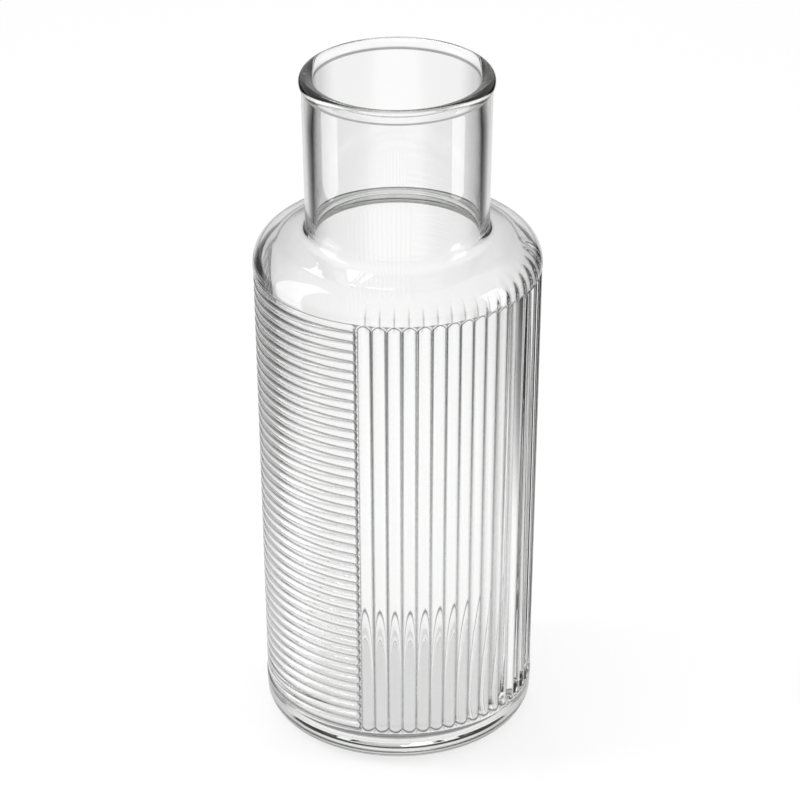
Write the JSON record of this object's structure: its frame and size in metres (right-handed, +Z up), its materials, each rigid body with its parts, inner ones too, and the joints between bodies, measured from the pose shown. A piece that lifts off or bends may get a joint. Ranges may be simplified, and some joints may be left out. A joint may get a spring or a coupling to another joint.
{
  "type": "water carafe",
  "caption": "Clear glass water carafe with a tapered body, upright reeds and level rings that meet at a seam on the front, a smooth back, a rounded shoulder and a wide open neck with a beaded rim.",
  "frame": {"origin": "middle of the flat resting ring, in the plane that the carafe stands on", "axes": "+Z up along the axis of the body and neck, -Y towards the front seam where the two panels of ribs meet, +X towards the side with the upright reeds, -X towards the side with the level rings"},
  "size_m": [0.096, 0.096, 0.236],
  "materials": {
    "clear_glass": "clear moulded glass with a polished surface and a faint warm green where it is thick"
  },
  "bodies": {
    "root": {"glass_vessel": "clear_glass"}
  },
  "joints": []
}
